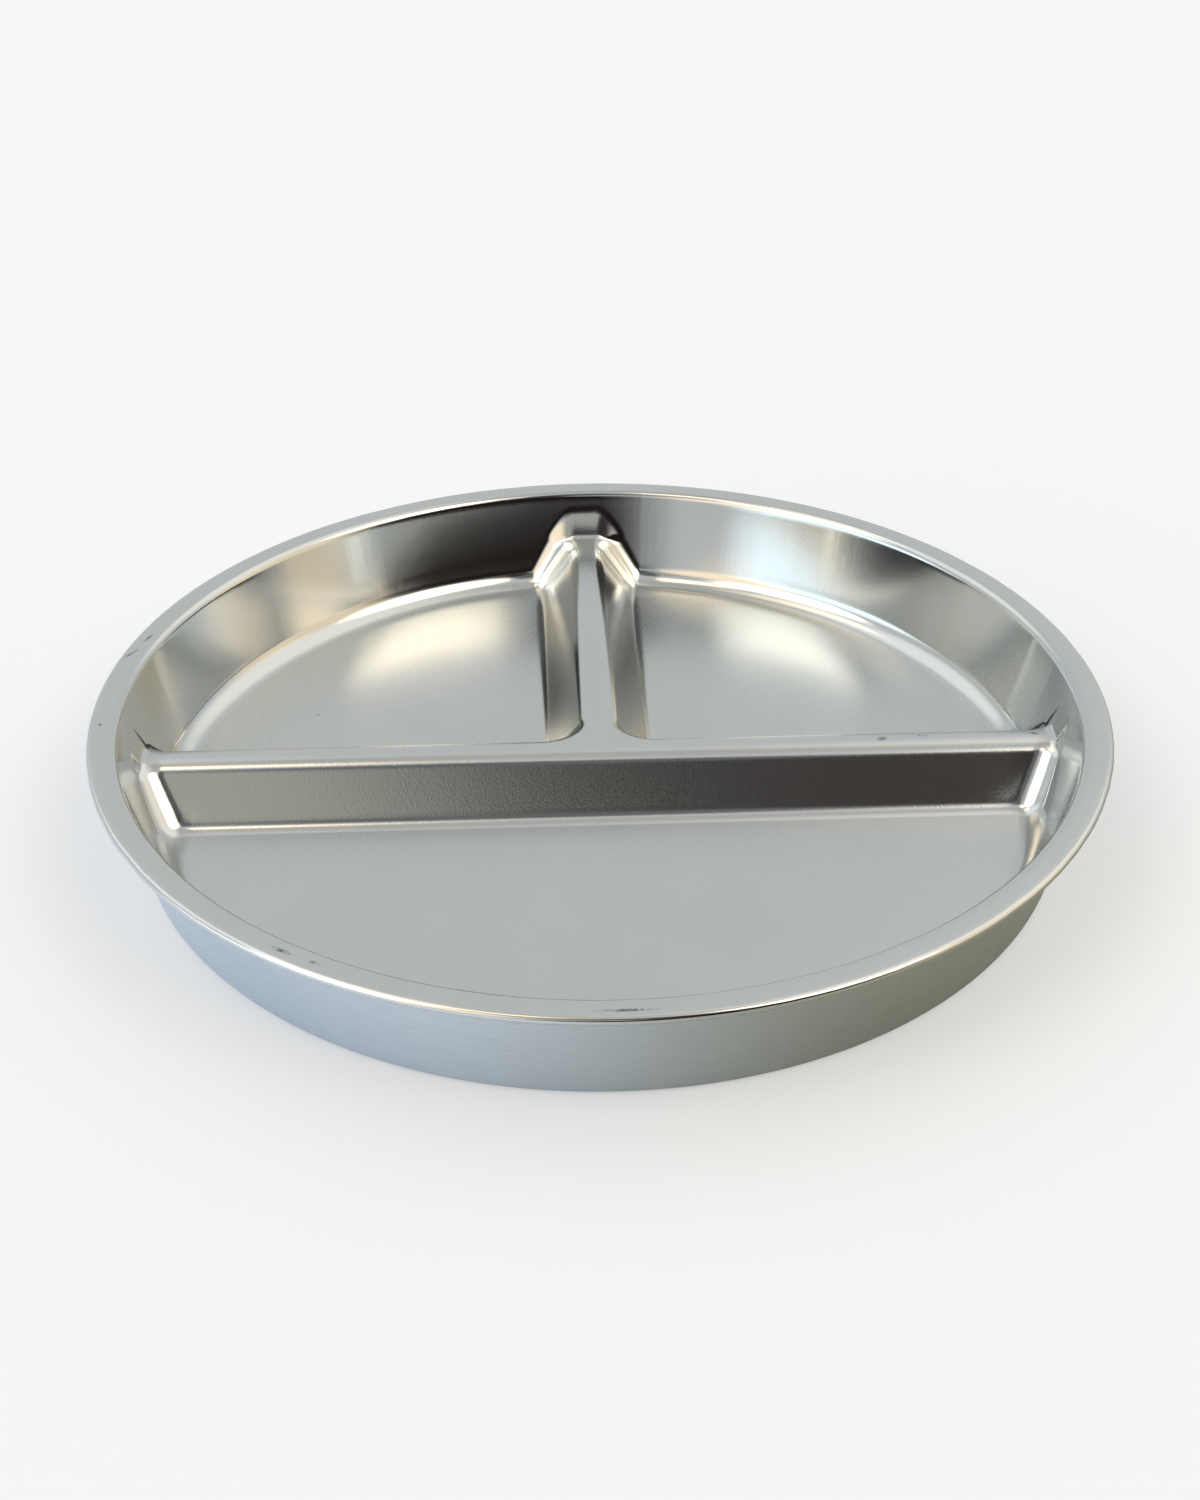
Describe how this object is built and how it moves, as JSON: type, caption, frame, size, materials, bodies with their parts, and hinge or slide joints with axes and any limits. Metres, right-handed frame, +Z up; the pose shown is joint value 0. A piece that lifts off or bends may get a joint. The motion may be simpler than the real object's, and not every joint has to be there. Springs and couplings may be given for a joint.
{
  "type": "compartment plate",
  "caption": "Round double-wall steel plate with a pressed T-shaped ridge that parts it into compartments, a flat rim and a rolled edge.",
  "frame": {"origin": "centre of the base, on the table", "axes": "+Z up; the divider's bar runs along X and its stem along +Y; the large compartment is on the -Y side"},
  "size_m": [0.22, 0.22, 0.0257],
  "materials": {
    "tray_steel": "satin, with a polished rolled edge",
    "shell_steel": "fine matte"
  },
  "bodies": {
    "root": {"divided_tray": "tray_steel", "outer_shell": "shell_steel"}
  },
  "joints": []
}
